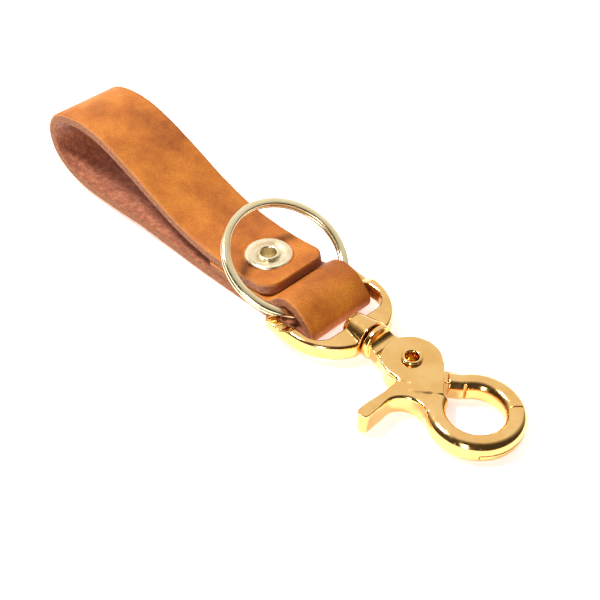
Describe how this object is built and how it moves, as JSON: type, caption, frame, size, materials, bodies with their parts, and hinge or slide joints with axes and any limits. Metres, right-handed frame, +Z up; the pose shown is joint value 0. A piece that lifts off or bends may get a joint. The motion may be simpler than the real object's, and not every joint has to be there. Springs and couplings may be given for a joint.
{
  "type": "leather key chain",
  "caption": "Folded leather strap loop held by a grommet, with a split ring and a swivel trigger snap in its front fold.",
  "frame": {"origin": "on the table, straight below the grommet's axis", "axes": "+X along the strap toward the snap, +Y across the strap, +Z up"},
  "size_m": [0.1468, 0.0358, 0.0225],
  "materials": {
    "strap_leather": "waxed",
    "grommet_brass": "polished",
    "ring_brass": "polished",
    "snap_brass": "polished",
    "spring_wire": "drawn"
  },
  "bodies": {
    "strap": {"leather_strap": "strap_leather", "grommet_eyelet": "grommet_brass", "grommet_washer": "grommet_brass"},
    "ring": {"split_ring": "ring_brass"},
    "yoke": {"snap_yoke": "snap_brass"},
    "hook": {"hook_body": "snap_brass", "swivel_stud": "snap_brass", "pivot_rivet": "snap_brass", "torsion_spring": "spring_wire"},
    "trigger": {"trigger": "snap_brass"}
  },
  "joints": [
    {"name": "ring_swing", "type": "hinge", "parent": "strap", "child": "ring", "pos_m": [0.0173, -0.0005, 0.00475], "axis": [0, 1, 0], "range_deg": [-1, 7]},
    {"name": "yoke_swing", "type": "hinge", "parent": "strap", "child": "yoke", "pos_m": [0.01382, -0.0004, 0.00379], "axis": [0.0349, 0.9994, 0], "range_deg": [-4, 110]},
    {"name": "snap_swivel", "type": "hinge", "parent": "yoke", "child": "hook", "pos_m": [0.0139, -0.0004, 0.00535], "axis": [0.9982, -0.0349, -0.0488], "continuous": true},
    {"name": "trigger_hinge", "type": "hinge", "parent": "hook", "child": "trigger", "pos_m": [0.04574, -0.00151, 0.00379], "axis": [-0.0488, 0.0017, -0.9988], "range_deg": [0, 28], "stiffness_Nm_per_rad": 0.02, "springref_deg": -11.46}
  ]
}
